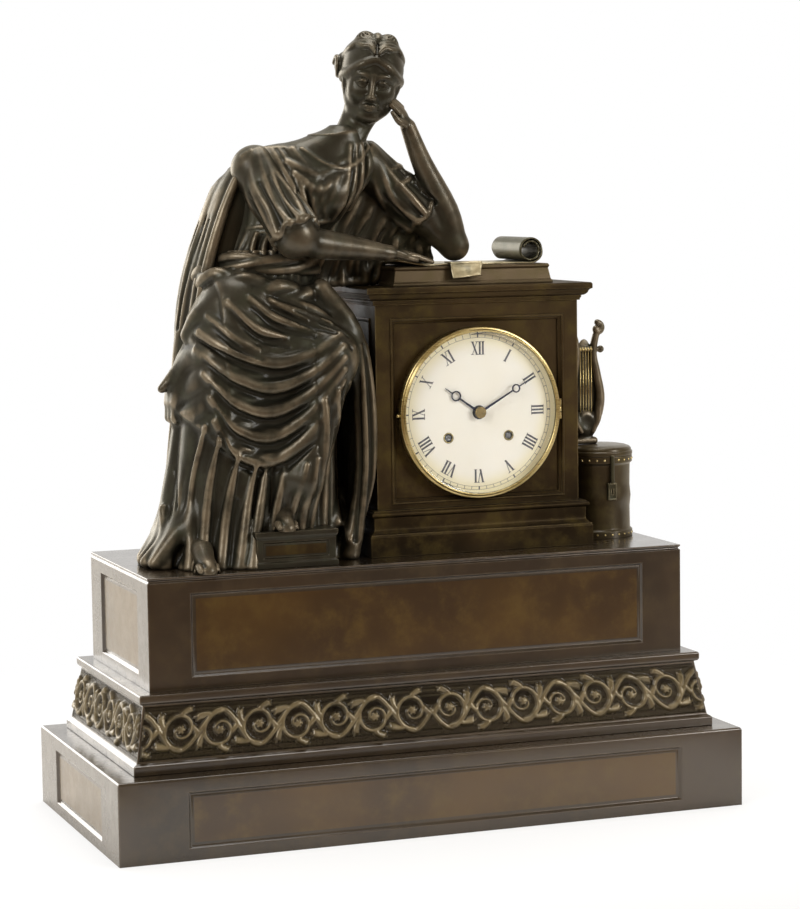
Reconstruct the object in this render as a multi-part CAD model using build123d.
from build123d import *
import math
import os

os.makedirs("parts", exist_ok=True)

# A patinated bronze figural mantel clock. The origin is the middle of the
# base's underside, +Z is up and the dial faces -Y. All lengths are in millimetres.

# Shared clearances
overrun = 2.0
seat_gap = 0.3
running_gap = 0.05
end_shake = 0.2
casting_wall = 4.0

# Stepped base, from the floor up
lower_plinth_length = 400.0
lower_plinth_depth = 190.0
lower_plinth_height = 49.0
lower_block_width = 42.0
frieze_length = 373.0
frieze_depth = 162.0
frieze_height = 46.0
frieze_batter = 6.0
frieze_foot_height = 7.0
frieze_fillet_height = 6.0
frieze_step = 2.5
upper_plinth_length = 344.0
upper_plinth_depth = 132.0
upper_plinth_height = 67.0
upper_block_width = 26.0
panel_border = 7.0
panel_recess = 1.5

# Wooden board and long rods that pull the tiers together
board_thickness = 9.0
board_gap = 0.4
rod_radius = 2.5
rod_inset_x = 22.0
rod_inset_y = 21.0
rod_boss_radius = 6.5
rod_boss_height = 12.0
rod_hole_gap = 0.2
rod_nut_flats = 9.0
rod_nut_height = 4.0
rod_nut_recess = 6.0

# Clock case
case_x = 50.0
case_y = 2.0
case_width = 134.0
case_depth = 72.0
case_height = 125.0
case_front_wall = 6.0
case_frame_width = 10.5
case_sill_height = 4.0
case_head_height = 9.0
case_frame_relief = 2.5
case_foot_height = 17.0
case_foot_spread = 7.0
case_neck_height = 11.0
case_neck_spread = 3.5
cornice_bed_height = 3.0
cornice_bed_spread = 1.5
cornice_swell_height = 4.0
cornice_swell_spread = 4.5
cornice_top_height = 4.0
cornice_top_spread = 7.5
attic_length = 106.0
attic_depth = 62.0
attic_height = 12.0
attic_batter = 3.0
dial_rise = 57.6

# Parchment that lies on the attic, its right end rolled up
parchment_length = 90.0
parchment_width = 48.0
parchment_thickness = 2.2
parchment_roll_radius = 7.0
parchment_roll_wall = 1.6
parchment_x = 46.0
parchment_y = -3.0

# Studs that hold the figure, the case and the scroll box to the plinth
stud_radius = 2.0
stud_nut_radius = 4.2
stud_nut_height = 3.0
stud_depth = 6.0
robe_rib_width = 12.0
robe_rib_height = 9.0
robe_stud_spacing = 44.0
case_stud_inset = 12.0

# Scroll box and the lyre that stands on it
box_x = 146.0
box_y = 0.0
box_radius = 20.5
box_height = 52.0
box_band_height = 5.0
box_band_relief = 1.4
box_wall = 2.0
box_lid_height = 7.0
box_lid_overhang = 1.6
box_lid_edge = 1.2
box_clasp_width = 6.0
box_clasp_height = 11.0
box_clasp_relief = 2.4
lyre_x = 139.0
lyre_height = 79.0
lyre_half_width = 11.5
lyre_foot_width = 15.0
lyre_foot_height = 9.0
lyre_foot_depth = 8.0
lyre_arm_radius = 1.9
lyre_bar_radius = 1.3
lyre_string_radius = 0.5
lyre_string_count = 5
# Places along an arm, as shares of lyre_half_width and of the arm's rise
lyre_arm_shares = [(0.33, 0.0), (1.0, 0.33), (0.5, 0.75), (1.0, 1.0)]
lyre_bar_share = 0.83

# Figure: a draped standing figure that leans on the case
figure_x = -85.0
figure_y = -8.0
figure_height = 320.0
figure_wall = 3.5
head_width = 38.0
head_depth = 42.0
head_height = 50.0
head_tilt = 12.0
head_turn = 14.0
neck_radius = 12.5
neck_top_radius = 10.5
knot_radius = 8.5
bun_radius = 11.0
shoulder_radius = 13.0
thigh_radius = 24.0
knee_radius = 17.0
ankle_radius = 11.0
upper_arm_radius = 11.5
elbow_radius = 9.5
wrist_radius = 5.2
knuckle_radius = 5.6
fingertip_radius = 2.8
hand_length = 24.0
joint_swell = 0.3
propped_elbow_x = 45.0
propped_elbow_y = -9.0
writing_hand_inset = 16.0
foot_length = 38.0
foot_width = 14.0
foot_height = 11.0
sandal_thickness = 2.5
foot_block_length = 52.0
foot_block_depth = 34.0
foot_block_height = 22.0
foot_block_x = -77.0
foot_block_front = 8.0

# Sections of the figure's forms, as shares of figure_height:
# centre across, centre fore and aft, height, half width, half depth
robe_section_shares = [
    (-0.025, 0.000, 0.000, 0.206, 0.144),
    (-0.022, 0.000, 0.045, 0.188, 0.134),
    (-0.012, 0.000, 0.160, 0.168, 0.128),
    (0.002, -0.002, 0.305, 0.157, 0.128),
    (0.012, -0.008, 0.385, 0.151, 0.126),
    (0.010, 0.010, 0.495, 0.118, 0.100),
    (0.028, 0.010, 0.570, 0.090, 0.070),
]
torso_section_shares = [
    (0.028, 0.010, 0.570, 0.090, 0.070),
    (0.064, 0.004, 0.630, 0.104, 0.076),
    (0.098, 0.000, 0.695, 0.126, 0.080),
    (0.122, 0.000, 0.745, 0.124, 0.070),
    (0.145, -0.004, 0.778, 0.086, 0.047),
    (0.165, -0.008, 0.806, 0.046, 0.036),
]
mantle_section_shares = [
    (-0.024, 0.100, 0.290, 0.080, 0.045),
    (-0.022, 0.072, 0.400, 0.112, 0.086),
    (-0.020, 0.062, 0.520, 0.104, 0.082),
    (0.002, 0.048, 0.620, 0.096, 0.074),
    (0.042, 0.036, 0.715, 0.100, 0.068),
    (0.060, 0.026, 0.765, 0.080, 0.046),
]
# Joints of the figure, as shares of figure_height
neck_base_shares = (0.168, -0.010, 0.755)
head_middle_shares = (0.236, -0.016, 0.906)
hip_shares = (0.014, 0.010, 0.500)
knee_shares = (0.108, -0.100, 0.380)
ankle_shares = (0.045, -0.122, 0.150)
right_shoulder_shares = (0.002, -0.012, 0.738)
left_shoulder_shares = (0.226, 0.006, 0.748)
right_elbow_shares = (0.056, -0.108, 0.594)
left_hand_shares = (0.296, -0.042, 0.862)
right_foot_shares = (-0.150, -0.118, 0.000)
left_foot_shares = (0.010, -0.128, 0.000)
# Hair, as shares of the head's half width, depth and height
knot_place_shares = (0.42, 0.10, 0.80)
bun_place_shares = (-0.75, 0.55, 0.22)

# Dial, bezel and glass
dial_radius = 50.4
dial_thickness = 1.2
dial_proud = 2.0
dial_centre_hole = 3.6
winding_hole_radius = 3.0
pan_thickness = 1.0
pan_edge_gap = 0.15
dial_foot_radius = 1.5
dial_foot_circle = 34.0
dial_foot_angles = [72.0, 205.0, 335.0]
ring_width = 2.4
ring_clearance = 0.2
ring_thickness = 2.5
case_aperture_margin = 0.5
bezel_opening = 49.9
bezel_height = 6.0
bezel_gap = 0.2
bezel_lip = 2.4
glass_thickness = 1.1
glass_rise = 3.4
glass_seat = 1.6
thumb_radius = 1.1
thumb_length = 1.6
hinge_knuckle_radius = 1.3
hinge_pin_radius = 0.6
hinge_knuckle_height = 4.0
knuckle_count = 3
hinge_offset = 1.5

# Back ring and door
back_aperture_radius = 46.6
back_ring_inner = 43.2
back_flange_radius = 51.0
back_flange_thickness = 1.5
door_thickness = 1.2
door_gap = 0.2
door_knob_radius = 2.4
door_knob_length = 5.0
door_knob_circle = 40.0
strap_width = 8.0
strap_thickness = 2.0
strap_screw_radius = 1.1
strap_screw_head_radius = 1.9
strap_screw_head_height = 0.9
strap_screw_grip = 8.0

# Movement frame
plate_radius = 43.0
plate_thickness = 1.6
plate_spacing = 28.0
dial_to_plate = 9.3
pillar_radius = 2.2
pillar_circle = 39.0
pillar_angles = [60.0, 120.0, 190.0, 270.0, 350.0]
winding_x = 20.0
winding_z = -15.2

# Teeth: height above the pitch circle, or the tips' circle of the escape and
# ratchet wheels, as a share of the module or depth, and half width as a share of the pitch
wheel_tooth_shares = [(-1.30, 0.25), (0.0, 0.20), (0.85, 0.07)]
leaf_tooth_shares = [(-1.30, 0.15), (0.0, 0.15), (0.75, 0.05)]
escape_tooth_shares = [(-1.0, 0.32), (0.0, 0.04)]
ratchet_tooth_shares = [(-1.0, 0.40), (0.0, 0.06)]

# Wheel work: modules, counts and thicknesses
wheel_thickness = 0.8
rim_width = 1.6
spoke_width = 1.3
hub_radius = 2.2
spoke_count = 4
barrel_module = 0.55
barrel_teeth = 60
barrel_leaves = 12
barrel_rim_thickness = 2.0
drum_radius = 14.0
drum_wall = 1.2
drum_length = 17.0
drum_front = 8.4
barrel_core_radius = 3.0
barrel_pivot_radius = 1.5
spring_thickness = 0.35
spring_pitch = 1.15
spring_hook_gap = 0.4
spring_points_per_turn = 20
winding_square = 3.2
square_setback = 0.6
ratchet_radius = 6.0
ratchet_teeth = 24
ratchet_thickness = 1.2
ratchet_tooth_depth = 1.4
ratchet_gap = 0.3
second_module = 0.4
second_teeth = 64
centre_leaves = 8
second_layer = 5.4
centre_module = 0.27
centre_teeth = 96
third_leaves = 8
centre_layer = 2.4
third_module = 0.22
third_teeth = 90
escape_leaves = 8
third_layer = 16.4
third_angle = 114.0
escape_teeth = 42
escape_radius = 8.0
escape_tooth_depth = 1.2
escape_layer = 20.4
pallet_rise = 10.2
pallet_clearance = 0.6
pallet_band = 1.9
pallet_span = 52.0
pallet_hub_radius = 1.6
leaf_overlap = 0.6
train_arbor_radius = 0.55
train_pivot_radius = 0.4
heavy_arbor_radius = 1.0
heavy_pivot_radius = 0.8
motion_module = 0.4
cannon_leaves = 12
minute_wheel_teeth = 36
minute_leaves = 10
minute_leaf_angle = 90.0
hour_wheel_teeth = 40
motion_layer = 2.0
hour_layer = 4.6
motion_thickness = 0.8
cannon_leaf_height = 2.0
cannon_radius = 1.6
hour_pipe_wall = 0.9
minute_post_radius = 0.7

# Hands
hour_hand_length = 27.0
minute_hand_length = 41.0
hand_thickness = 0.6
hand_stem_width = 1.5
hand_tip_width = 0.5
hour_moon_radius = 3.2
minute_moon_radius = 2.7
moon_wall = 0.8
hand_boss_radius = 3.0
hand_step = 1.2
hour_hand_lift = 0.8
collet_radius = 2.0
collet_height = 0.9
shown_hour = 10
shown_minute = 10
moon_place_share = 0.68

# Strike work
strike_second_teeth = 60
pin_wheel_leaves = 8
strike_second_angle = 106.4
pin_wheel_angle = 65.0
pin_wheel_module = 0.3
pin_wheel_teeth = 56
fly_leaves = 8
fly_angle = 75.0
pin_layer = 12.4
pin_count = 10
pin_radius = 0.5
pin_length = 2.0
pin_circle = 6.6
fly_half_width = 5.0
fly_length = 9.0
fly_thickness = 0.4
fly_setback = 2.0
count_wheel_radius = 11.0
count_wheel_notch = 1.1
count_wheel_thickness = 1.0
count_wheel_lift = 0.8
hours_struck = 12
hammer_x = -30.0
hammer_z = 22.0
hammer_arm_width = 1.6
hammer_arm_thickness = 1.6
hammer_head_radius = 3.0
hammer_head_length = 4.0
hammer_tail_length = 3.2
bell_x = 16.0
bell_z = -2.0
bell_radius = 26.0
bell_depth = 12.5
bell_wall = 1.0
bell_crown_share = 0.67
bell_bend_share = 0.67
bell_lift = 9.3
bell_strike_gap = 0.5
bell_post_radius = 1.8
bell_nut_radius = 3.0
bell_nut_height = 1.6

# Pendulum and its suspension
cock_half_span = 9.0
cock_leg_radius = 1.6
cock_bar_height = 5.0
cock_bar_thickness = 2.4
cock_lift = 2.6
arbor_end_depth = 1.0
suspension_pin_radius = 0.8
suspension_pin_length = 3.2
eye_radius = 2.2
eye_thickness = 1.8
pendulum_length = 98.0
pendulum_rod_radius = 1.0
bob_radius = 13.0
bob_half_thickness = 3.2
# The bob's half section, as shares of bob_radius and of bob_half_thickness
bob_profile_shares = [(0.0, 1.0), (0.5, 0.83), (1.0, 0.33)]
rating_nut_radius = 2.6
rating_nut_height = 1.8
crutch_width = 1.8
crutch_thickness = 0.9
crutch_lift = 0.9
crutch_length = 22.0
crutch_prong_radius = 0.6
crutch_prong_gap = 0.3

# Heights of the stacked tiers
lower_top = lower_plinth_height
frieze_top = lower_top + frieze_height
deck_z = frieze_top + upper_plinth_height
case_body_z = deck_z + case_foot_height + case_neck_height
case_top = case_body_z + case_height
cornice_top = case_top + cornice_bed_height + cornice_swell_height + cornice_top_height
attic_top = cornice_top + attic_height
dial_z = case_body_z + dial_rise
dial_x = case_x

# Planes of the dial and movement, from the front of the case to the back
case_front = case_y - case_depth / 2
case_back = case_y + case_depth / 2
panel_y = case_front + case_frame_relief
dial_front = panel_y - dial_proud
pan_front = dial_front + dial_thickness
pan_back = pan_front + pan_thickness
front_plate_y = pan_back + dial_to_plate
front_plate_back = front_plate_y + plate_thickness
back_plate_y = front_plate_back + plate_spacing
back_plate_back = back_plate_y + plate_thickness
ring_inner = dial_radius + ring_clearance
ring_outer = ring_inner + ring_width
ring_front = panel_y - ring_thickness
bezel_back = ring_front - bezel_gap
bezel_front = bezel_back - bezel_height
case_aperture = ring_inner + case_aperture_margin

# Places of the arbors, seen from the front: across and up from the dial's centre
centre_place = (0.0, 0.0)
going_place = (winding_x, winding_z)
strike_place = (-winding_x, winding_z)


def polar(radius, degrees):
    angle = math.radians(degrees)
    return (radius * math.cos(angle), radius * math.sin(angle))


def beside(place, distance, degrees):
    step = polar(distance, degrees)
    return (place[0] + step[0], place[1] + step[1])


def heading(start, end):
    return math.degrees(math.atan2(end[1] - start[1], end[0] - start[0]))


def meeting_place(first, first_distance, second, second_distance):
    # The place at the given distances from two others, on the left of the
    # way from the first to the second.
    span = math.dist(first, second)
    along = (first_distance ** 2 - second_distance ** 2 + span ** 2) / (2 * span)
    turn = math.degrees(math.acos(along / first_distance))
    return beside(first, first_distance, heading(first, second) + turn)


def mesh_distance(teeth, leaves, module):
    return (teeth + leaves) * module / 2


second_place = meeting_place(
    centre_place, mesh_distance(second_teeth, centre_leaves, second_module),
    going_place, mesh_distance(barrel_teeth, barrel_leaves, barrel_module))
third_place = beside(
    centre_place, mesh_distance(centre_teeth, third_leaves, centre_module), third_angle)
escape_drop = mesh_distance(third_teeth, escape_leaves, third_module)
escape_place = (0.0, third_place[1] + math.sqrt(escape_drop ** 2 - third_place[0] ** 2))
pallet_place = (0.0, escape_place[1] + pallet_rise)
minute_place = (0.0, -mesh_distance(minute_wheel_teeth, cannon_leaves, motion_module))
hour_module = motion_module * (minute_wheel_teeth + cannon_leaves) / (hour_wheel_teeth + minute_leaves)
strike_second_place = beside(
    strike_place, mesh_distance(barrel_teeth, barrel_leaves, barrel_module), strike_second_angle)
pin_place = beside(
    strike_second_place, mesh_distance(strike_second_teeth, pin_wheel_leaves, second_module),
    pin_wheel_angle)
fly_place = beside(
    pin_place, mesh_distance(pin_wheel_teeth, fly_leaves, pin_wheel_module), fly_angle)
hammer_place = (hammer_x, hammer_z)
bell_place = (bell_x, bell_z)


def save(shape, name):
    shape.label = name
    export_step(shape, f"parts/{name}.step")


def block(length, depth, height, x=0, y=0, z=0):
    # A box that stands on height z.
    low = (Align.CENTER, Align.CENTER, Align.MIN)
    return Pos(x, y, z) * Box(length, depth, height, align=low)


def upright(radius, height, x=0, y=0, z=0):
    low = (Align.CENTER, Align.CENTER, Align.MIN)
    return Pos(x, y, z) * Cylinder(radius, height, align=low)


def turned(radius, length, place, y):
    # A cylinder along +Y that starts at y, on an arbor's place.
    low = (Align.CENTER, Align.CENTER, Align.MIN)
    rod = Rot(-90, 0, 0) * Cylinder(radius, length, align=low)
    return Pos(dial_x + place[0], y, dial_z + place[1]) * rod


def bar(width, depth, height, place, y):
    # A box along +Y that starts at y, centred on an arbor's place.
    low = (Align.CENTER, Align.MIN, Align.CENTER)
    return Pos(dial_x + place[0], y, dial_z + place[1]) * Box(width, depth, height, align=low)


def spun(profile, place=centre_place):
    # A ring turned about the Y axis from (radius, y) points, on an arbor's place.
    outline = Polyline(*[(radius, y, 0) for radius, y in profile], close=True)
    ring = revolve(make_face(outline), axis=Axis.Y)
    return Pos(dial_x + place[0], 0, dial_z + place[1]) * ring


def hex_nut(flats, height, hole, x, y, z):
    corner = flats / math.sqrt(3)
    ring = extrude(RegularPolygon(corner, 6), height)
    return Pos(x, y, z) * ring - upright(hole, height + 2 * overrun, x, y, z - overrun)


def panelled(length, depth, height, end_width, z):
    # A plain tier whose four faces carry a sunk panel between end blocks.
    tier = block(length, depth, height, z=z)
    panel_height = height - 2 * panel_border
    for side in (-1, 1):
        front = block(length - 2 * end_width, 2 * panel_recess, panel_height,
                      y=side * depth / 2, z=z + panel_border)
        end = block(2 * panel_recess, depth - 2 * end_width, panel_height,
                    x=side * length / 2, z=z + panel_border)
        tier = tier - front - end
    return tier


def rod_places():
    half_x = upper_plinth_length / 2 - rod_inset_x
    half_y = upper_plinth_depth / 2 - rod_inset_y
    return [(sx * half_x, sy * half_y) for sx in (-1, 1) for sy in (-1, 1)]


def rod_holes(shape, low, high):
    for x, y in rod_places():
        shape = shape - upright(rod_radius + rod_hole_gap, high - low, x, y, low)
    return shape


def make_lower_plinth():
    tier = panelled(lower_plinth_length, lower_plinth_depth, lower_plinth_height,
                    lower_block_width, 0)
    inside = block(lower_plinth_length - 2 * casting_wall, lower_plinth_depth - 2 * casting_wall,
                   lower_plinth_height - casting_wall + overrun, z=-overrun)
    return rod_holes(tier - inside, 0, lower_top + overrun)


def make_frieze_tier():
    foot = block(frieze_length, frieze_depth, frieze_foot_height, z=lower_top)
    slope_low = lower_top + frieze_foot_height
    slope_high = frieze_top - frieze_fillet_height
    low_face = Pos(0, 0, slope_low) * Rectangle(
        frieze_length - 2 * frieze_step, frieze_depth - 2 * frieze_step)
    high_face = Pos(0, 0, slope_high) * Rectangle(
        frieze_length - 2 * frieze_batter - 2 * frieze_step,
        frieze_depth - 2 * frieze_batter - 2 * frieze_step)
    slope = loft([low_face, high_face])
    fillet_band = block(frieze_length - 2 * frieze_batter, frieze_depth - 2 * frieze_batter,
                        frieze_fillet_height, z=slope_high)
    slimming = 2 * (frieze_batter + frieze_step + casting_wall)
    inside = block(frieze_length - slimming, frieze_depth - slimming,
                   frieze_height - casting_wall + overrun, z=lower_top - overrun)
    return rod_holes(foot + slope + fillet_band - inside, lower_top, frieze_top + overrun)


def make_upper_plinth():
    tier = panelled(upper_plinth_length, upper_plinth_depth, upper_plinth_height,
                    upper_block_width, frieze_top)
    inside = block(upper_plinth_length - 2 * casting_wall, upper_plinth_depth - 2 * casting_wall,
                   upper_plinth_height - casting_wall + overrun, z=frieze_top - overrun)
    tier = tier - inside
    boss_low = deck_z - casting_wall - rod_boss_height
    for x, y in rod_places():
        tier = tier + upright(rod_boss_radius, rod_boss_height, x, y, boss_low)
        tier = tier - upright(rod_radius + rod_hole_gap, rod_boss_height, x, y, boss_low)
    for x, y in stud_places():
        tier = tier - upright(stud_radius + rod_hole_gap, casting_wall + 2 * overrun,
                              x, y, deck_z - casting_wall - overrun)
    return tier


def make_base_board():
    board = block(lower_plinth_length - 2 * casting_wall - 2 * board_gap,
                  lower_plinth_depth - 2 * casting_wall - 2 * board_gap, board_thickness)
    board = rod_holes(board, 0, board_thickness + overrun)
    for x, y in rod_places():
        board = board - upright(rod_nut_flats, rod_nut_recess, x, y, 0)
    return board


def make_tie_rods():
    # Four rods, each with the nut that pulls it down.
    pieces = []
    nut_z = rod_nut_recess - rod_nut_height
    rod_low = nut_z - (nut_z - seat_gap) / 2
    rod_high = deck_z - casting_wall - seat_gap
    for x, y in rod_places():
        pieces.append(upright(rod_radius, rod_high - rod_low, x, y, rod_low))
        pieces.append(hex_nut(rod_nut_flats, rod_nut_height, rod_radius + running_gap, x, y, nut_z))
    return Compound(children=pieces)


def robe_stud_places():
    middle = (figure_x + robe_section_shares[0][0] * figure_height,
              figure_y + robe_section_shares[0][1] * figure_height)
    return [(middle[0] + side * robe_stud_spacing / 2, middle[1]) for side in (-1, 1)]


def case_stud_places():
    half_x = case_width / 2 - case_stud_inset
    half_y = case_depth / 2 - case_stud_inset
    return [(case_x + sx * half_x, case_y + sy * half_y) for sx in (-1, 1) for sy in (-1, 1)]


def stud_places():
    return robe_stud_places() + case_stud_places() + [(box_x, box_y)]


def make_fixing_studs():
    pieces = []
    low = deck_z - casting_wall - stud_nut_height
    for x, y in stud_places():
        nut = upright(stud_nut_radius, stud_nut_height, x, y, low)
        pieces.append(nut + upright(stud_radius, stud_nut_height + casting_wall + stud_depth, x, y, low))
    return Compound(children=pieces)


def stud_sockets(shape, places):
    for x, y in places:
        shape = shape - upright(stud_radius + running_gap, stud_depth + seat_gap, x, y, deck_z)
    return shape


def make_case_plinth():
    foot = block(case_width + 2 * case_foot_spread, case_depth + 2 * case_foot_spread,
                 case_foot_height, case_x, case_y, deck_z)
    neck = block(case_width + 2 * case_neck_spread, case_depth + 2 * case_neck_spread,
                 case_neck_height, case_x, case_y, deck_z + case_foot_height)
    foot = chamfer(foot.edges().filter_by(Plane.XY).group_by(Axis.Z)[-1], case_neck_spread / 2)
    well = block(case_width - 2 * case_stud_inset - 4 * stud_nut_radius,
                 case_depth - 2 * case_front_wall,
                 case_foot_height + case_neck_height + 2 * overrun, case_x, case_y, deck_z - overrun)
    return stud_sockets(foot + neck - well, case_stud_places())


def make_case_body():
    body = block(case_width, case_depth, case_height, case_x, case_y, case_body_z)
    inside = block(case_width - 2 * casting_wall, case_depth - casting_wall - case_front_wall,
                   case_height + 2 * overrun, case_x,
                   case_y + (case_front_wall - casting_wall) / 2, case_body_z - overrun)
    panel_height = case_height - case_sill_height - case_head_height
    panel = block(case_width - 2 * case_frame_width, 2 * case_frame_relief, panel_height,
                  case_x, case_front, case_body_z + case_sill_height)
    body = body - inside - panel
    for side in (-1, 1):
        side_panel = block(2 * panel_recess, case_depth - 2 * case_frame_width, panel_height,
                           case_x + side * case_width / 2, case_y, case_body_z + case_sill_height)
        body = body - side_panel
    body = body - turned(case_aperture, case_front_wall + 2 * overrun, centre_place,
                         case_front - overrun)
    return body - turned(back_aperture_radius, casting_wall + 2 * overrun, centre_place,
                         case_back - casting_wall - overrun)


def make_case_cornice():
    bed = block(case_width + 2 * cornice_bed_spread, case_depth + 2 * cornice_bed_spread,
                cornice_bed_height, case_x, case_y, case_top)
    swell_z = case_top + cornice_bed_height
    low_face = Pos(case_x, case_y, swell_z) * Rectangle(
        case_width + 2 * cornice_bed_spread, case_depth + 2 * cornice_bed_spread)
    high_face = Pos(case_x, case_y, swell_z + cornice_swell_height) * Rectangle(
        case_width + 2 * cornice_swell_spread, case_depth + 2 * cornice_swell_spread)
    swell = loft([low_face, high_face])
    slab = block(case_width + 2 * cornice_top_spread, case_depth + 2 * cornice_top_spread,
                 cornice_top_height, case_x, case_y, swell_z + cornice_swell_height)
    return bed + swell + slab


def make_attic_block():
    low_face = Pos(case_x, case_y, cornice_top) * Rectangle(attic_length, attic_depth)
    high_face = Pos(case_x, case_y, attic_top) * Rectangle(
        attic_length - 2 * attic_batter, attic_depth - 2 * attic_batter)
    return loft([low_face, high_face])


def make_parchment():
    sheet = block(parchment_length, parchment_width, parchment_thickness,
                  parchment_x, parchment_y, attic_top)
    roll_x = parchment_x + parchment_length / 2
    roll_z = attic_top + parchment_roll_radius
    roll = Rot(-90, 0, 0) * Cylinder(parchment_roll_radius, parchment_width)
    bore = Rot(-90, 0, 0) * Cylinder(parchment_roll_radius - parchment_roll_wall,
                                     parchment_width + 2 * overrun)
    place = Pos(roll_x, parchment_y, roll_z)
    return sheet + place * roll - place * bore


def make_scroll_box():
    drum = upright(box_radius, box_height, box_x, box_y, deck_z)
    for z in (deck_z, deck_z + box_height - box_band_height):
        drum = drum + upright(box_radius + box_band_relief, box_band_height, box_x, box_y, z)
    floor = stud_depth + overrun
    drum = drum - upright(box_radius - box_wall, box_height, box_x, box_y, deck_z + floor)
    clasp = block(box_clasp_width, box_clasp_relief + box_wall, box_clasp_height, box_x,
                  box_y - box_radius - box_clasp_relief / 2 + box_wall / 2,
                  deck_z + box_height / 2 - box_clasp_height / 2)
    inside = upright(box_radius - box_wall, box_height, box_x, box_y, deck_z)
    return stud_sockets(drum + (clasp - inside), [(box_x, box_y)])


def make_scroll_box_lid():
    lid_z = deck_z + box_height
    lid = upright(box_radius + box_lid_overhang, box_lid_height, box_x, box_y, lid_z)
    lid = chamfer(lid.edges().group_by(Axis.Z)[-1], box_lid_edge)
    return lid


def lyre_arm(side, low_z, high_z):
    # One horn: out from the foot, in at the waist and out again at its tip.
    path = Spline([
        (lyre_x + side * out * lyre_half_width, box_y, low_z + up * (high_z - low_z))
        for out, up in lyre_arm_shares
    ])
    section = Plane(origin=path @ 0, z_dir=path % 0) * Circle(lyre_arm_radius)
    return sweep(section, path=path)


def make_lyre():
    foot_z = deck_z + box_height + box_lid_height
    foot = block(lyre_foot_width, lyre_foot_depth, lyre_foot_height, lyre_x, box_y, foot_z)
    low_z = foot_z + lyre_foot_height - lyre_arm_radius
    high_z = foot_z + lyre_height - lyre_arm_radius
    frame = foot + lyre_arm(-1, low_z, high_z) + lyre_arm(1, low_z, high_z)
    bar_z = low_z + (high_z - low_z) * lyre_bar_share
    cross = Pos(lyre_x, box_y, bar_z) * Rot(0, 90, 0) * Cylinder(lyre_bar_radius, 2 * lyre_half_width)
    frame = frame + cross
    pitch = lyre_half_width / (lyre_string_count + 1)
    for index in range(lyre_string_count):
        x = lyre_x + (index - (lyre_string_count - 1) / 2) * pitch
        frame = frame + upright(lyre_string_radius, bar_z - low_z, x, box_y, low_z)
    return frame


def figure_point(shares):
    return Vector(figure_x + shares[0] * figure_height, figure_y + shares[1] * figure_height,
                  deck_z + shares[2] * figure_height)


def body_form(section_shares, inset=0.0, low_cut=0.0, high_cut=0.0):
    # A smooth form through level ellipses, made thinner all round by the inset.
    faces = []
    last = len(section_shares) - 1
    for index, (across, fore, up, half_x, half_y) in enumerate(section_shares):
        middle = figure_point((across, fore, up))
        shift = low_cut if index == 0 else (-high_cut if index == last else 0.0)
        place = Pos(middle.X, middle.Y, middle.Z + shift)
        faces.append(place * Ellipse(half_x * figure_height - inset, half_y * figure_height - inset))
    return loft(faces)


def limb(start, end, start_radius, end_radius):
    # A tapering limb with rounded ends.
    way = end - start
    low = (Align.CENTER, Align.CENTER, Align.MIN)
    shaft = Plane(origin=start, z_dir=way) * Cone(start_radius, end_radius, way.length, align=low)
    shaft = shaft + Pos(start.X, start.Y, start.Z) * Sphere(start_radius + joint_swell)
    return shaft + Pos(end.X, end.Y, end.Z) * Sphere(end_radius + joint_swell)


def head_place():
    middle = figure_point(head_middle_shares)
    return Pos(middle.X, middle.Y, middle.Z) * Rot(0, head_tilt, head_turn)


def robe_form():
    # The skirt and the bent leg that lifts it, its foot on the block.
    hip, knee = figure_point(hip_shares), figure_point(knee_shares)
    leg = limb(hip, knee, thigh_radius, knee_radius)
    leg = leg + limb(knee, figure_point(ankle_shares), knee_radius, ankle_radius)
    return body_form(robe_section_shares) + leg


def make_robe():
    shell = robe_form() - body_form(
        robe_section_shares, figure_wall, -overrun, figure_wall)
    rib_places = robe_stud_places()
    rib = block(4 * robe_stud_spacing, robe_rib_width, robe_rib_height,
                figure_x, rib_places[0][1], deck_z)
    shell = shell + (rib & body_form(robe_section_shares))
    return stud_sockets(shell, rib_places)


def make_torso():
    return body_form(torso_section_shares) - body_form(
        torso_section_shares, figure_wall, -overrun, figure_wall)


def head_form():
    skull = head_place() * scale(Sphere(1), by=(head_width / 2, head_depth / 2, head_height / 2))
    neck = limb(figure_point(neck_base_shares), figure_point(head_middle_shares),
                neck_radius, neck_top_radius)
    hair = []
    for side in (-1, 1):
        across = side * knot_place_shares[0] * knot_radius * 2
        hair.append(Pos(across, knot_place_shares[1] * head_depth / 2,
                        knot_place_shares[2] * head_height / 2) * Sphere(knot_radius))
    hair.append(Pos(bun_place_shares[0] * head_width / 2, bun_place_shares[1] * head_depth / 2,
                    bun_place_shares[2] * head_height / 2) * Sphere(bun_radius))
    head = skull + neck
    for tuft in hair:
        head = head + head_place() * tuft
    return head


def left_arm_form():
    # The arm whose elbow stands on the parchment and whose hand holds the cheek.
    shoulder = figure_point(left_shoulder_shares)
    elbow = Vector(propped_elbow_x, propped_elbow_y, attic_top + parchment_thickness + elbow_radius)
    hand = figure_point(left_hand_shares)
    way = (hand - elbow).normalized()
    wrist = hand - way * (hand_length / 2)
    tips = hand + way * (hand_length / 4)
    upper = limb(shoulder, elbow, upper_arm_radius, elbow_radius)
    lower = limb(elbow, wrist, elbow_radius, wrist_radius)
    return upper + lower + limb(wrist, tips, knuckle_radius, fingertip_radius)


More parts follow.
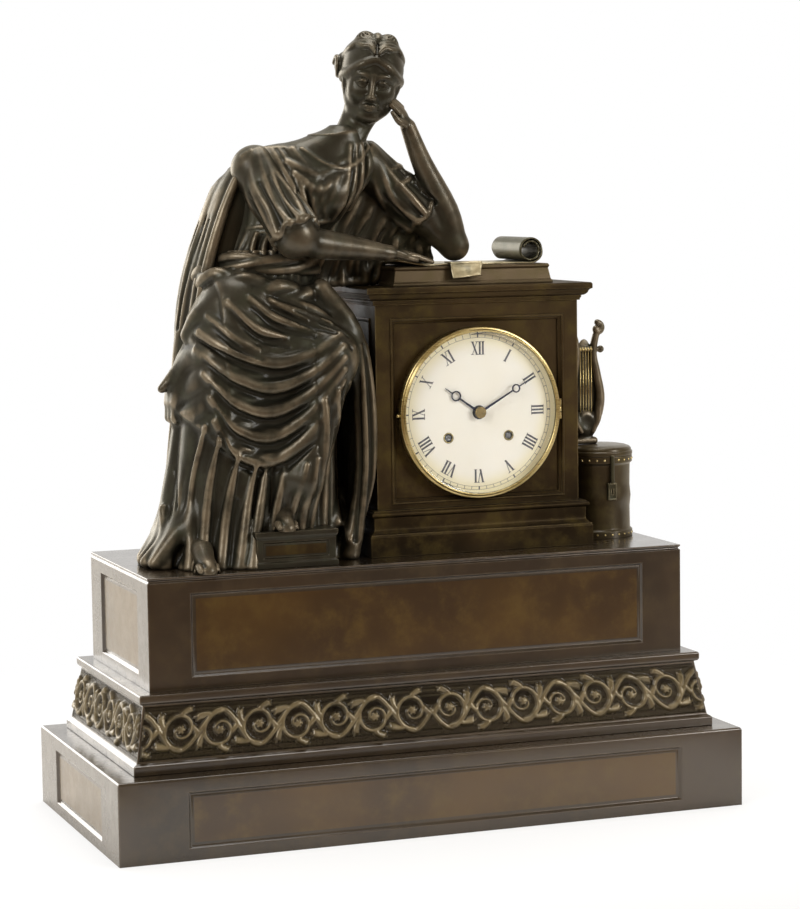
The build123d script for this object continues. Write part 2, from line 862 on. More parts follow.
def right_arm_form():
    # The arm that lies across, its hand on the left edge of the parchment.
    shoulder = figure_point(right_shoulder_shares)
    elbow = figure_point(right_elbow_shares)
    reach_x = parchment_x - parchment_length / 2 + writing_hand_inset
    reach_y = parchment_y - parchment_width / 2
    rest_z = attic_top + parchment_thickness + fingertip_radius
    tips = Vector(reach_x, reach_y, rest_z + joint_swell)
    way = (tips - elbow).normalized()
    wrist = tips - way * hand_length
    upper = limb(shoulder, elbow, shoulder_radius, elbow_radius)
    lower = limb(elbow, wrist, elbow_radius, wrist_radius)
    return upper + lower + limb(wrist, tips, knuckle_radius, fingertip_radius)


def foot_form(x, y, z):
    # A sandalled foot that points to the front.
    sole = block(foot_width, foot_length, sandal_thickness, x, y, z)
    toes = Pos(x, y, z + sandal_thickness) * scale(
        Sphere(1), by=(foot_width / 2, foot_length / 2, foot_height))
    return sole + (toes & block(2 * foot_width, 2 * foot_length, 2 * foot_height, x, y, z))


def make_foot_block():
    y = -upper_plinth_depth / 2 + foot_block_front + foot_block_depth / 2
    stone = block(foot_block_length, foot_block_depth, foot_block_height, foot_block_x, y, deck_z)
    panel = block(foot_block_length - 2 * panel_border, 2 * panel_recess,
                  foot_block_height - 2 * panel_border, foot_block_x, y - foot_block_depth / 2,
                  deck_z + panel_border)
    return stone - panel


def teeth_disc(teeth, radius, module, shares, thickness, first_angle):
    # A toothed disc in the XY plane, with a tooth's middle at first_angle.
    pitch = 360.0 / teeth
    outline = []
    for index in range(teeth):
        middle = first_angle + index * pitch
        for height, half in shares:
            outline.append(polar(radius + height * module, middle - half * pitch))
        for height, half in reversed(shares):
            outline.append(polar(radius + height * module, middle + half * pitch))
    return extrude(make_face(Polyline(*outline, close=True)), thickness)


def stand_up(shape, place, y):
    # Turns a shape drawn in the XY plane to face the front, thickness along +Y.
    return Pos(dial_x + place[0], y, dial_z + place[1]) * Rot(90, 0, 0) * shape


def crossed(disc, thickness, outer, hub):
    # Cuts the windows that leave the spokes of a clock wheel.
    windows = Cylinder(outer, 3 * thickness) - Cylinder(hub, 4 * thickness)
    for index in range(spoke_count):
        arm = Pos(outer / 2, 0, 0) * Box(outer + overrun, spoke_width, 4 * thickness)
        windows = windows - Rot(0, 0, index * 360.0 / spoke_count) * arm
    return disc - windows


def wheel(teeth, module, place, y, first_angle=0.0, thickness=wheel_thickness):
    radius = teeth * module / 2
    disc = teeth_disc(teeth, radius, module, wheel_tooth_shares, thickness, first_angle)
    disc = crossed(disc, thickness, radius - rim_width, hub_radius)
    return stand_up(Pos(0, 0, -thickness) * disc, place, y)


def pinion(leaves, module, place, y, length, first_angle):
    radius = leaves * module / 2
    disc = teeth_disc(leaves, radius, module, leaf_tooth_shares, length, first_angle)
    return stand_up(Pos(0, 0, -length) * disc, place, y)


def mesh_angle(wheel_place, wheel_teeth, wheel_angle, pinion_place, leaves):
    # The angle of a pinion's leaf that puts a gap opposite the wheel's tooth.
    line = heading(wheel_place, pinion_place)
    wheel_pitch = 360.0 / wheel_teeth
    leaf_pitch = 360.0 / leaves
    ahead = (wheel_angle - line) / wheel_pitch
    return line + 180.0 + leaf_pitch * (0.5 - ahead)


def arbor(place, radius, pivot, back_end=back_plate_back):
    # An arbor between the plates with a pivot in each.
    low = front_plate_back + end_shake
    high = back_plate_y - end_shake
    shaft = turned(radius, high - low, place, low)
    return shaft + turned(pivot, back_end - front_plate_y, place, front_plate_y)


def layer(depth):
    return front_plate_back + depth


def make_front_plate():
    plate = turned(plate_radius, plate_thickness, centre_place, front_plate_y)
    return drill_plate(plate, front_plate_y) + minute_post()


def make_back_plate():
    plate = turned(plate_radius, plate_thickness, centre_place, back_plate_y)
    plate = drill_plate(plate, back_plate_y)
    plate = plate - turned(eye_radius, plate_thickness + 2 * overrun, pallet_place,
                           back_plate_y - overrun)
    return plate + bell_post()


def drill_plate(plate, y):
    holes = [(centre_place, heavy_pivot_radius), (going_place, barrel_pivot_radius),
             (strike_place, barrel_pivot_radius), (second_place, heavy_pivot_radius),
             (third_place, train_pivot_radius), (escape_place, train_pivot_radius),
             (pallet_place, train_pivot_radius), (strike_second_place, heavy_pivot_radius),
             (pin_place, train_pivot_radius), (fly_place, train_pivot_radius),
             (hammer_place, heavy_pivot_radius)]
    for place, pivot in holes:
        plate = plate - turned(pivot + running_gap, plate_thickness + 2 * overrun, place, y - overrun)
    return plate


def minute_post():
    start = front_plate_y - motion_layer - cannon_leaf_height - hour_layer + end_shake
    return turned(minute_post_radius, front_plate_y - start, minute_place, start)


def make_plate_pillars():
    pieces = []
    for angle in pillar_angles:
        place = polar(pillar_circle, angle)
        pieces.append(turned(pillar_radius, plate_spacing, place, front_plate_back))
    return Compound(children=pieces)


def drum_y():
    return layer(drum_front)


def make_barrel(place, rim_y):
    drum = turned(drum_radius, drum_length, place, drum_y())
    radius = barrel_teeth * barrel_module / 2
    rim = teeth_disc(barrel_teeth, radius, barrel_module, wheel_tooth_shares,
                     barrel_rim_thickness, 0.0)
    drum = drum + stand_up(Pos(0, 0, -barrel_rim_thickness) * rim, place, rim_y)
    drum = drum - turned(drum_radius - drum_wall, drum_length - 2 * drum_wall, place,
                         drum_y() + drum_wall)
    return drum - turned(barrel_pivot_radius + running_gap, drum_length + 2 * overrun, place,
                         drum_y() - overrun)


def make_mainspring(place):
    # A flat spiral of steel, from the arbor's hook out to the drum's wall.
    inner = barrel_core_radius + spring_hook_gap
    outer = drum_radius - drum_wall - spring_thickness - running_gap
    turns = (outer - inner) / spring_pitch
    steps = int(turns * spring_points_per_turn)
    inside = []
    outside = []
    for index in range(steps + 1):
        share = index / steps
        radius = inner + (outer - inner) * share
        angle = 360.0 * turns * share
        inside.append(polar(radius, angle))
        outside.append(polar(radius + spring_thickness, angle))
    length = drum_length - 2 * drum_wall - 2 * end_shake
    strip = extrude(make_face(Polyline(*inside, *reversed(outside), close=True)), length)
    return stand_up(Pos(0, 0, -length) * strip, place, drum_y() + drum_wall + end_shake)


def make_winding_arbor(place):
    core_y = drum_y() + drum_wall + end_shake
    core = turned(barrel_core_radius, drum_length - 2 * drum_wall - 2 * end_shake, place, core_y)
    shaft = turned(barrel_pivot_radius, back_plate_back - front_plate_y + ratchet_gap, place,
                   front_plate_y - ratchet_gap)
    ratchet = teeth_disc(ratchet_teeth, ratchet_radius, ratchet_tooth_depth,
                         ratchet_tooth_shares, ratchet_thickness, 0.0)
    ratchet_y = front_plate_y - ratchet_gap - ratchet_thickness
    ratchet = stand_up(Pos(0, 0, -ratchet_thickness) * ratchet, place, ratchet_y)
    square_y = dial_front + square_setback
    square = bar(winding_square, ratchet_y - square_y, winding_square, place, square_y)
    return core + shaft + ratchet + square


def make_second_wheel():
    rim_y = drum_y() + drum_length - barrel_rim_thickness
    shaft = arbor(second_place, heavy_arbor_radius, heavy_pivot_radius)
    leaf_angle = mesh_angle(going_place, barrel_teeth, 0.0, second_place, barrel_leaves)
    leaves = pinion(barrel_leaves, barrel_module, second_place, rim_y - leaf_overlap,
                    barrel_rim_thickness + 2 * leaf_overlap, leaf_angle)
    return shaft + leaves + wheel(second_teeth, second_module, second_place, layer(second_layer))


def make_centre_wheel():
    shaft = arbor(centre_place, heavy_arbor_radius, heavy_pivot_radius)
    leaf_angle = mesh_angle(second_place, second_teeth, 0.0, centre_place, centre_leaves)
    leaves = pinion(centre_leaves, second_module, centre_place, layer(second_layer) - leaf_overlap,
                    wheel_thickness + 2 * leaf_overlap, leaf_angle)
    disc = wheel(centre_teeth, centre_module, centre_place, layer(centre_layer))
    cannon_y = front_plate_y - motion_layer - cannon_leaf_height
    cannon = pinion(cannon_leaves, motion_module, centre_place, cannon_y, cannon_leaf_height, 0.0)
    link = turned(heavy_pivot_radius, front_plate_y - cannon_y, centre_place, cannon_y)
    tube_y = minute_hand_y() - collet_height
    tube = turned(cannon_radius, cannon_y - tube_y, centre_place, tube_y)
    return shaft + leaves + disc + cannon + link + tube


def make_third_wheel():
    shaft = arbor(third_place, train_arbor_radius, train_pivot_radius)
    leaf_angle = mesh_angle(centre_place, centre_teeth, 0.0, third_place, third_leaves)
    leaves = pinion(third_leaves, centre_module, third_place, layer(centre_layer) - leaf_overlap,
                    wheel_thickness + 2 * leaf_overlap, leaf_angle)
    return shaft + leaves + wheel(third_teeth, third_module, third_place, layer(third_layer))


def make_escape_wheel():
    shaft = arbor(escape_place, train_arbor_radius, train_pivot_radius)
    leaf_angle = mesh_angle(third_place, third_teeth, 0.0, escape_place, escape_leaves)
    leaves = pinion(escape_leaves, third_module, escape_place, layer(third_layer) - leaf_overlap,
                    wheel_thickness + 2 * leaf_overlap, leaf_angle)
    disc = teeth_disc(escape_teeth, escape_radius, escape_tooth_depth, escape_tooth_shares,
                      wheel_thickness, 0.0)
    rim = escape_radius - escape_tooth_depth - rim_width / 2
    disc = crossed(disc, wheel_thickness, rim, hub_radius)
    return shaft + leaves + stand_up(Pos(0, 0, -wheel_thickness) * disc, escape_place,
                                     layer(escape_layer))


def make_pallets():
    # The anchor over the escape wheel, its arbor, and the crutch behind the plate.
    inner = escape_radius + pallet_clearance
    outer = inner + pallet_band
    thickness = wheel_thickness + leaf_overlap
    y = layer(escape_layer) - leaf_overlap / 2
    arch = turned(outer, thickness, escape_place, y) - turned(
        inner, thickness + 2 * overrun, escape_place, y - overrun)
    corner = polar(2 * outer, 90.0 - pallet_span)
    wedge = Polyline((0, 0), corner, (0, 3 * outer), (-corner[0], corner[1]), close=True)
    keep = extrude(make_face(wedge), thickness + 2 * overrun)
    keep = Pos(dial_x + escape_place[0], y + thickness + overrun, dial_z + escape_place[1]) * (
        Rot(90, 0, 0) * keep)
    anchor = (arch & keep) + turned(pallet_hub_radius, thickness, pallet_place, y)
    crutch_y = back_plate_back + crutch_lift
    end_y = back_plate_back + cock_lift + arbor_end_depth - end_shake
    shaft = arbor(pallet_place, train_arbor_radius, train_pivot_radius, back_end=end_y)
    crutch_middle = (pallet_place[0], pallet_place[1] - crutch_length / 2)
    crutch = bar(crutch_width, crutch_thickness, crutch_length + crutch_width, crutch_middle, crutch_y)
    prong_x = pendulum_rod_radius + crutch_prong_gap + crutch_prong_radius
    prong_z = pallet_place[1] - crutch_length
    foot = bar(2 * prong_x + 2 * crutch_prong_radius, crutch_thickness, crutch_width,
               (0, prong_z), crutch_y)
    reach = rod_y() + pendulum_rod_radius + crutch_prong_radius - crutch_y
    for side in (-1, 1):
        foot = foot + turned(crutch_prong_radius, reach, (side * prong_x, prong_z), crutch_y)
    return anchor + shaft + crutch + foot


def hour_hand_y():
    return dial_front - hour_hand_lift - hand_thickness


def minute_hand_y():
    return hour_hand_y() - hand_step - hand_thickness


def make_minute_wheel():
    y = front_plate_y - motion_layer - cannon_leaf_height / 2 - motion_thickness / 2
    gap_angle = mesh_angle(centre_place, cannon_leaves, 0.0, minute_place, minute_wheel_teeth)
    disc = wheel(minute_wheel_teeth, motion_module, minute_place, y, gap_angle, motion_thickness)
    leaf_y = hour_wheel_y() - leaf_overlap
    leaves = pinion(minute_leaves, hour_module, minute_place, leaf_y, y - leaf_y, minute_leaf_angle)
    bore = turned(minute_post_radius + running_gap, plate_spacing, minute_place,
                  y - plate_spacing / 2)
    return disc + leaves - bore


def hour_wheel_y():
    return front_plate_y - motion_layer - hour_layer


def make_hour_wheel():
    y = hour_wheel_y()
    gap_angle = mesh_angle(minute_place, minute_leaves, minute_leaf_angle, centre_place,
                           hour_wheel_teeth)
    radius = hour_wheel_teeth * hour_module / 2
    disc = teeth_disc(hour_wheel_teeth, radius, hour_module, wheel_tooth_shares,
                      motion_thickness, gap_angle)
    disc = crossed(disc, motion_thickness, radius - rim_width, cannon_radius + 2 * hour_pipe_wall)
    disc = stand_up(Pos(0, 0, -motion_thickness) * disc, centre_place, y)
    pipe_end = hour_hand_y()
    pipe = turned(cannon_radius + hour_pipe_wall, y - pipe_end, centre_place, pipe_end)
    bore = turned(cannon_radius + running_gap, plate_spacing, centre_place, y - plate_spacing / 2)
    return disc + pipe - bore


def hand_form(length, moon_radius, boss_bore):
    # A hand with a pierced moon near its tip, drawn pointing to twelve.
    moon_z = length * moon_place_share
    stem = Polyline((-hand_stem_width / 2, 0), (hand_stem_width / 2, 0),
                    (hand_tip_width / 2, length), (-hand_tip_width / 2, length), close=True)
    blade = extrude(make_face(stem), hand_thickness)
    low = (Align.CENTER, Align.CENTER, Align.MIN)
    blade = blade + Pos(0, moon_z, 0) * Cylinder(moon_radius, hand_thickness, align=low)
    blade = blade - Pos(0, moon_z, 0) * Cylinder(moon_radius - moon_wall, 4 * hand_thickness)
    blade = blade + Cylinder(hand_boss_radius + boss_bore / 2, hand_thickness, align=low)
    blade = blade - Cylinder(boss_bore, 4 * hand_thickness)
    return Pos(0, 0, -hand_thickness) * blade


def place_hand(blade, degrees, y):
    clockwise = Rot(0, degrees, 0)
    return Pos(dial_x, y, dial_z) * clockwise * Rot(90, 0, 0) * blade


def make_hour_hand():
    degrees = 30.0 * shown_hour + shown_minute / 2
    blade = hand_form(hour_hand_length, hour_moon_radius, cannon_radius + hour_pipe_wall)
    return place_hand(blade, degrees, hour_hand_y())


def make_minute_hand():
    blade = hand_form(minute_hand_length, minute_moon_radius, cannon_radius)
    return place_hand(blade, 6.0 * shown_minute, minute_hand_y())


def make_hand_collet():
    y = minute_hand_y() - collet_height
    return turned(collet_radius + cannon_radius, collet_height, centre_place, y) - turned(
        cannon_radius, collet_height + 2 * overrun, centre_place, y - overrun)


def make_strike_second_wheel():
    shaft_end = back_plate_back + count_wheel_lift + count_wheel_thickness
    shaft = arbor(strike_second_place, heavy_arbor_radius, heavy_pivot_radius, back_end=shaft_end)
    leaf_angle = mesh_angle(strike_place, barrel_teeth, 0.0, strike_second_place, barrel_leaves)
    leaves = pinion(barrel_leaves, barrel_module, strike_second_place, drum_y() - leaf_overlap,
                    barrel_rim_thickness + 2 * leaf_overlap, leaf_angle)
    disc = wheel(strike_second_teeth, second_module, strike_second_place, layer(second_layer))
    return shaft + leaves + disc


def make_count_wheel():
    # The notches stand further and further apart: one blow, two, and so on.
    y = back_plate_back + count_wheel_lift
    disc = turned(count_wheel_radius, count_wheel_thickness, strike_second_place, y)
    blows = sum(range(1, hours_struck + 1))
    struck = 0
    for hour in range(1, hours_struck + 1):
        struck = struck + hour
        notch = Pos(count_wheel_radius, 0, 0) * Box(
            2 * count_wheel_notch, count_wheel_notch, 4 * count_wheel_thickness)
        turn = Rot(0, 0, 360.0 * struck / blows) * notch
        disc = disc - stand_up(turn, strike_second_place, y)
    return disc - turned(heavy_pivot_radius, count_wheel_thickness + 2 * overrun,
                         strike_second_place, y - overrun)


def make_pin_wheel():
    shaft = arbor(pin_place, train_arbor_radius, train_pivot_radius)
    leaf_angle = mesh_angle(strike_second_place, strike_second_teeth, 0.0, pin_place,
                            pin_wheel_leaves)
    leaves = pinion(pin_wheel_leaves, second_module, pin_place, layer(second_layer) - leaf_overlap,
                    wheel_thickness + 2 * leaf_overlap, leaf_angle)
    disc = wheel(pin_wheel_teeth, pin_wheel_module, pin_place, layer(pin_layer))
    for index in range(pin_count):
        step = polar(pin_circle, index * 360.0 / pin_count)
        spot = (pin_place[0] + step[0], pin_place[1] + step[1])
        disc = disc + turned(pin_radius, pin_length + wheel_thickness, spot, layer(pin_layer))
    return shaft + leaves + disc


def make_fly():
    shaft = arbor(fly_place, train_arbor_radius, train_pivot_radius)
    leaf_angle = mesh_angle(pin_place, pin_wheel_teeth, 0.0, fly_place, fly_leaves)
    leaves = pinion(fly_leaves, pin_wheel_module, fly_place, layer(pin_layer) - leaf_overlap,
                    wheel_thickness + 2 * leaf_overlap, leaf_angle)
    vane_y = layer(pin_layer) + wheel_thickness + fly_setback
    vane = bar(2 * fly_half_width, fly_length, fly_thickness, fly_place, vane_y)
    hub = turned(2 * train_arbor_radius, fly_length, fly_place, vane_y)
    return shaft + leaves + vane + hub


def hammer_head_place():
    return (bell_x - bell_radius - bell_strike_gap - hammer_head_radius, bell_z)


def make_hammer():
    head_spot = hammer_head_place()
    arm_y = back_plate_back + bell_lift + hammer_head_length / 2 - hammer_arm_thickness / 2
    shaft = arbor(hammer_place, heavy_arbor_radius, heavy_pivot_radius,
                  back_end=arm_y + hammer_arm_thickness)
    span = math.dist(hammer_place, head_spot)
    lean = heading(hammer_place, head_spot)
    arm = Pos(span / 2, 0, 0) * Box(span, hammer_arm_width, hammer_arm_thickness)
    arm = Rot(0, 0, lean) * arm
    arm = stand_up(Pos(0, 0, -hammer_arm_thickness / 2) * arm, hammer_place, arm_y)
    head = turned(hammer_head_radius, hammer_head_length, head_spot, back_plate_back + bell_lift)
    tail_lean = heading(hammer_place, pin_place)
    tail = Pos(hammer_tail_length / 2, 0, 0) * Box(
        hammer_tail_length, hammer_arm_width, hammer_arm_thickness)
    tail_y = layer(pin_layer) + wheel_thickness + end_shake
    tail = stand_up(Pos(0, 0, -hammer_arm_thickness / 2) * (Rot(0, 0, tail_lean) * tail),
                    hammer_place, tail_y)
    hub = turned(hammer_arm_width, hammer_arm_thickness, hammer_place, arm_y)
    return shaft + arm + head + tail + hub


def bell_back():
    return back_plate_back + bell_lift + bell_depth


def bell_post():
    length = bell_lift + bell_depth - bell_wall
    return turned(bell_post_radius, length, bell_place, back_plate_back)


def make_bell():
    # A shallow cup, mouth towards the plates, and the nut that holds it.
    mouth_y = back_plate_back + bell_lift
    back_y = bell_back()
    crown = bell_radius * bell_crown_share
    bend_y = mouth_y + bell_depth * bell_bend_share
    profile = [(bell_radius - bell_wall, mouth_y), (bell_radius, mouth_y),
               (bell_radius - bell_wall, bend_y), (crown, back_y), (0, back_y),
               (0, back_y - bell_wall), (crown - bell_wall, back_y - bell_wall),
               (bell_radius - 2 * bell_wall, bend_y - bell_wall)]
    return spun(profile, bell_place) + turned(bell_nut_radius, bell_nut_height, bell_place, back_y)


def rod_y():
    return back_plate_back + cock_lift + cock_bar_thickness + end_shake + eye_thickness / 2


def make_suspension_cock():
    bar_y = back_plate_back + cock_lift
    cock = bar(2 * cock_half_span + 2 * cock_leg_radius, cock_bar_thickness, cock_bar_height,
               pallet_place, bar_y)
    for side in (-1, 1):
        leg_place = (side * cock_half_span, pallet_place[1])
        cock = cock + turned(cock_leg_radius, cock_lift, leg_place, back_plate_back)
    cock = cock - turned(train_pivot_radius + running_gap, arbor_end_depth, pallet_place, bar_y)
    pin_y = bar_y + cock_bar_thickness
    return cock + turned(suspension_pin_radius, suspension_pin_length, pallet_place, pin_y)


def make_pendulum_rod():
    middle_y = rod_y()
    eye = turned(eye_radius, eye_thickness, pallet_place, middle_y - eye_thickness / 2)
    eye = eye - turned(suspension_pin_radius + running_gap, eye_thickness + 2 * overrun,
                       pallet_place, middle_y - eye_thickness / 2 - overrun)
    top = dial_z + pallet_place[1] - eye_radius + pendulum_rod_radius / 2
    bottom = dial_z + pallet_place[1] - pendulum_length - bob_radius - rating_nut_height
    rod = upright(pendulum_rod_radius, top - bottom, dial_x, middle_y, bottom)
    nut = upright(rating_nut_radius, rating_nut_height, dial_x, middle_y, bottom)
    return eye + (rod - turned(suspension_pin_radius + eye_radius / 2, 2 * eye_radius, pallet_place,
                               middle_y - eye_radius)) + nut


def make_pendulum_bob():
    # A lens of brass with a straight hole for the rod.
    middle_z = pallet_place[1] - pendulum_length
    profile = [(out * bob_radius, -deep * bob_half_thickness) for out, deep in bob_profile_shares]
    profile = profile + [(radius, -y) for radius, y in reversed(profile)]
    lens = Pos(0, rod_y(), 0) * spun(profile, (0, middle_z))
    low = dial_z + middle_z - bob_radius - overrun
    return lens - upright(pendulum_rod_radius + running_gap, 2 * bob_radius + 2 * overrun,
                          dial_x, rod_y(), low)


def knuckle(axis_x, axis_y, low_z, height, ring_edge, tab_y, tab_depth):
    # A hinge knuckle and the tab that joins it to its ring.
    barrel = upright(hinge_knuckle_radius, height, axis_x, axis_y, low_z)
    reach = axis_x - ring_edge
    tab = Pos(ring_edge + reach / 2, tab_y + tab_depth / 2, low_z + height / 2) * Box(
        reach, tab_depth, height)
    bore = upright(hinge_pin_radius + running_gap, height + 2 * overrun, axis_x, axis_y,
                   low_z - overrun)
    return barrel + tab - bore


def hinge_low():
    return dial_z - knuckle_count * hinge_knuckle_height / 2 - bezel_gap


def front_hinge_x():
    return dial_x + ring_outer + hinge_offset


def front_hinge_y():
    return ring_front - bezel_gap / 2


def back_hinge_x():
    return dial_x + back_flange_radius + hinge_offset


def back_hinge_y():
    return case_back + back_flange_thickness + door_gap / 2


def make_bezel_ring():
    ring = turned(ring_outer, ring_thickness, centre_place, ring_front) - turned(
        ring_inner, ring_thickness + 2 * overrun, centre_place, ring_front - overrun)
    tube = turned(case_aperture - running_gap, case_front_wall - case_frame_relief, centre_place,
                  panel_y) - turned(ring_inner, case_front_wall + overrun, centre_place, panel_y - overrun)
    ring = ring + tube
    reach = dial_x + ring_inner + ring_width / 2
    step = hinge_knuckle_height + bezel_gap
    for low_z in (hinge_low(), hinge_low() + 2 * step):
        ring = ring + knuckle(front_hinge_x(), front_hinge_y(), low_z, hinge_knuckle_height, reach,
                              ring_front, hinge_knuckle_radius - bezel_gap)
    return ring


def make_bezel():
    back = bezel_back
    front = bezel_front
    seat = back - bezel_lip
    profile = [(bezel_opening, back), (ring_outer, back), (ring_outer, back - bezel_height / 2),
               (ring_outer - bezel_lip, front), (bezel_opening, front),
               (bezel_opening, seat - glass_thickness - glass_seat / 2),
               (bezel_opening + glass_seat / 2, seat - glass_thickness - glass_seat / 2),
               (bezel_opening + glass_seat / 2, seat), (bezel_opening, seat)]
    ring = spun(profile)
    step = hinge_knuckle_height + bezel_gap
    tab_depth = hinge_knuckle_radius - bezel_gap
    ring = ring + knuckle(front_hinge_x(), front_hinge_y(), hinge_low() + step, hinge_knuckle_height,
                          dial_x + ring_inner + ring_width / 2, back - tab_depth, tab_depth)
    thumb_place = (-ring_outer + thumb_radius / 2, 0)
    return ring + turned(thumb_radius, bezel_height / 2 + thumb_length, thumb_place,
                         back - bezel_height / 2 - thumb_length)


def make_bezel_glass():
    # A slightly domed watch glass: its edge sits in the bezel's groove.
    edge_y = bezel_back - bezel_lip - running_gap
    rim_radius = bezel_opening + glass_seat / 2 - running_gap
    inner_arc = dome(bezel_opening - glass_seat, edge_y, glass_rise)
    outer_arc = dome(bezel_opening - glass_seat, edge_y - glass_thickness, glass_rise)
    rim = Polyline((bezel_opening - glass_seat, edge_y), (rim_radius, edge_y),
                   (rim_radius, edge_y - glass_thickness),
                   (bezel_opening - glass_seat, edge_y - glass_thickness))
    spine = Line((0, edge_y - glass_rise), (0, edge_y - glass_thickness - glass_rise))
    glass = revolve(make_face([inner_arc, rim, outer_arc, spine]), axis=Axis.Y)
    return Pos(dial_x, 0, dial_z) * glass


def dome(radius, edge_y, rise):
    # The arc of a sphere, from the middle of the glass out to its edge.
    sphere_radius = (radius ** 2 + rise ** 2) / (2 * rise)
    half_x = radius / 2
    centre_y = edge_y - rise + sphere_radius
    half_y = centre_y - math.sqrt(sphere_radius ** 2 - half_x ** 2)
    return ThreePointArc((0, edge_y - rise), (half_x, half_y), (radius, edge_y))


def make_hinge_pins():
    height = knuckle_count * hinge_knuckle_height + (knuckle_count - 1) * bezel_gap
    front = upright(hinge_pin_radius, height, front_hinge_x(), front_hinge_y(), hinge_low())
    back = upright(hinge_pin_radius, height, back_hinge_x(), back_hinge_y(), hinge_low())
    return Compound(children=[front, back])


def make_dial():
    disc = turned(dial_radius, dial_thickness, centre_place, dial_front)
    for place, radius in dial_openings():
        disc = disc - turned(radius, dial_thickness + 2 * overrun, place, dial_front - overrun)
    return disc


def dial_openings():
    return [(centre_place, dial_centre_hole), (going_place, winding_hole_radius),
            (strike_place, winding_hole_radius)]


def make_dial_pan():
    pan = turned(ring_inner - pan_edge_gap, pan_thickness, centre_place, pan_front)
    for place, radius in dial_openings():
        pan = pan - turned(radius, pan_thickness + 2 * overrun, place, pan_front - overrun)
    for angle in dial_foot_angles:
        place = polar(dial_foot_circle, angle)
        pan = pan + turned(dial_foot_radius, dial_to_plate, place, pan_back)
    return pan


def strap_places():
    circle = (back_ring_inner + back_aperture_radius - pan_edge_gap) / 2
    return [(-circle, 0.0), (circle, 0.0)]


def make_back_ring():
    tube_front = case_back - casting_wall
    ring = turned(back_aperture_radius - pan_edge_gap, casting_wall, centre_place, tube_front)
    ring = ring + turned(back_flange_radius, back_flange_thickness, centre_place, case_back)
    ring = ring - turned(back_ring_inner, casting_wall + back_flange_thickness + 2 * overrun,
                         centre_place, tube_front - overrun)
    for place in strap_places():
        ring = ring - turned(strap_screw_radius + running_gap, 4 * casting_wall, place,
                             tube_front - overrun)
        ring = ring - turned(strap_screw_head_radius + running_gap, 2 * strap_screw_head_height, place,
                             case_back + back_flange_thickness - strap_screw_head_height)
    reach = dial_x + back_flange_radius - hinge_knuckle_radius
    step = hinge_knuckle_height + bezel_gap
    tab_depth = hinge_knuckle_radius - door_gap
    tab_y = case_back + back_flange_thickness - tab_depth
    for low_z in (hinge_low(), hinge_low() + 2 * step):
        ring = ring + knuckle(back_hinge_x(), back_hinge_y(), low_z, hinge_knuckle_height, reach,
                              tab_y, tab_depth)
    return ring


def make_back_door():
    door_y = case_back + back_flange_thickness + door_gap
    door = turned(back_flange_radius, door_thickness, centre_place, door_y)
    step = hinge_knuckle_height + bezel_gap
    door = door + knuckle(back_hinge_x(), back_hinge_y(), hinge_low() + step, hinge_knuckle_height,
                          dial_x + back_flange_radius - hinge_knuckle_radius, door_y,
                          hinge_knuckle_radius - door_gap)
    return door + turned(door_knob_radius, door_knob_length, (-door_knob_circle, 0),
                         door_y + door_thickness)


def make_movement_straps():
    # Two straps from the front ring to the back ring, each with its screw.
    pieces = []
    start = panel_y + case_front_wall - case_frame_relief
    end = case_back - casting_wall
    screw_end = end - strap_screw_grip
    head_y = case_back + back_flange_thickness - strap_screw_head_height
    for place in strap_places():
        strap = bar(strap_thickness, end - start, strap_width, place, start)
        foot_width = ring_inner - abs(place[0]) + strap_thickness / 2
        side = math.copysign(1, place[0])
        foot_place = (place[0] + side * (foot_width - strap_thickness) / 2, 0)
        strap = strap + bar(foot_width, strap_thickness, strap_width, foot_place, start)
        strap = strap - turned(strap_screw_radius / 2, strap_screw_grip, place, screw_end)
        pieces.append(strap)
        screw = turned(strap_screw_radius / 2, head_y - screw_end, place, screw_end)
        screw = screw + turned(strap_screw_radius, head_y - end, place, end)
        pieces.append(screw + turned(strap_screw_head_radius, strap_screw_head_height, place, head_y))
    return Compound(children=pieces)


def cast_figure():
    # Each casting is trimmed where it lies against the ones made before it.
    robe_mass = robe_form()
    torso_mass = body_form(torso_section_shares)
    stone = make_foot_block()
    attic = make_attic_block()
    parchment = make_parchment()
    cornice = make_case_cornice()
    feet_y = figure_y + left_foot_shares[1] * figure_height
    left_foot = foot_form(figure_x + left_foot_shares[0] * figure_height, feet_y,
                          deck_z + foot_block_height)
    right_x = figure_x + right_foot_shares[0] * figure_height
    right_foot = foot_form(right_x, figure_y + right_foot_shares[1] * figure_height, deck_z)
    head_mass = head_form() - torso_mass
    left_arm = left_arm_form() - torso_mass - head_mass - parchment - attic
    right_arm = right_arm_form() - torso_mass - robe_mass - parchment - attic - cornice
    mantle = body_form(mantle_section_shares) - torso_mass - robe_mass - right_arm - head_mass
    save(make_robe() - stone, "robe")
    save(make_torso() - robe_mass, "torso")
    save(head_mass, "head")
    save(left_arm, "left_arm")
    save(right_arm, "right_arm")
    save(mantle, "mantle")
    save(Compound(children=[left_foot - robe_mass, right_foot - robe_mass]), "sandalled_feet")
    save(stone, "foot_block")


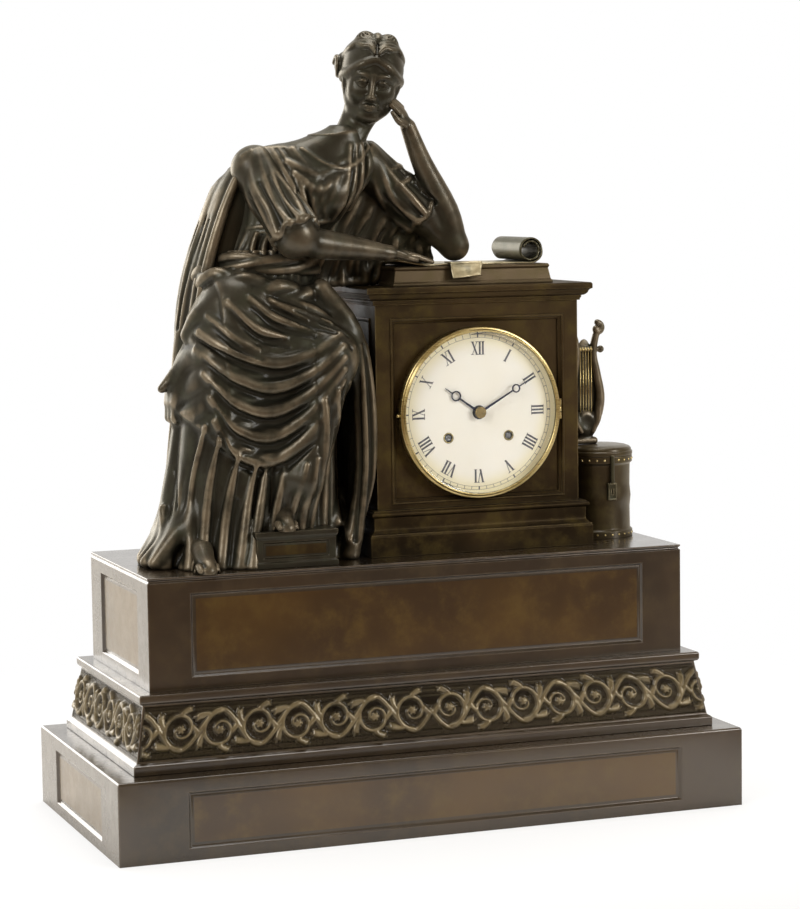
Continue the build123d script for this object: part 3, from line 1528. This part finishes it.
save(make_base_board(), "base_board")
save(make_tie_rods(), "tie_rods")
save(make_lower_plinth(), "lower_plinth")
save(make_frieze_tier(), "frieze_tier")
save(make_upper_plinth(), "upper_plinth")
save(make_fixing_studs(), "fixing_studs")
save(make_case_plinth(), "case_plinth")
save(make_case_body(), "case_body")
save(make_case_cornice(), "case_cornice")
save(make_attic_block(), "attic_block")
save(make_parchment(), "parchment")
save(make_scroll_box(), "scroll_box")
save(make_scroll_box_lid(), "scroll_box_lid")
save(make_lyre(), "lyre")
cast_figure()
save(make_bezel_ring(), "bezel_ring")
save(make_bezel(), "bezel")
save(make_bezel_glass(), "bezel_glass")
save(make_hinge_pins(), "hinge_pins")
save(make_dial(), "dial")
save(make_dial_pan(), "dial_pan")
save(make_hour_hand(), "hour_hand")
save(make_minute_hand(), "minute_hand")
save(make_hand_collet(), "hand_collet")
save(make_front_plate(), "front_plate")
save(make_back_plate(), "back_plate")
save(make_plate_pillars(), "plate_pillars")
save(make_barrel(going_place, drum_y() + drum_length - barrel_rim_thickness), "going_barrel")
save(make_barrel(strike_place, drum_y()), "strike_barrel")
save(make_mainspring(going_place), "going_mainspring")
save(make_mainspring(strike_place), "strike_mainspring")
save(make_winding_arbor(going_place), "going_winding_arbor")
save(make_winding_arbor(strike_place), "strike_winding_arbor")
save(make_second_wheel(), "second_wheel")
save(make_centre_wheel(), "centre_wheel")
save(make_third_wheel(), "third_wheel")
save(make_escape_wheel(), "escape_wheel")
save(make_pallets(), "pallets")
save(make_minute_wheel(), "minute_wheel")
save(make_hour_wheel(), "hour_wheel")
save(make_strike_second_wheel(), "strike_second_wheel")
save(make_count_wheel(), "count_wheel")
save(make_pin_wheel(), "pin_wheel")
save(make_fly(), "fly")
save(make_hammer(), "hammer")
save(make_bell(), "bell")
save(make_suspension_cock(), "suspension_cock")
save(make_pendulum_rod(), "pendulum_rod")
save(make_pendulum_bob(), "pendulum_bob")
save(make_back_ring(), "back_ring")
save(make_back_door(), "back_door")
save(make_movement_straps(), "movement_straps")
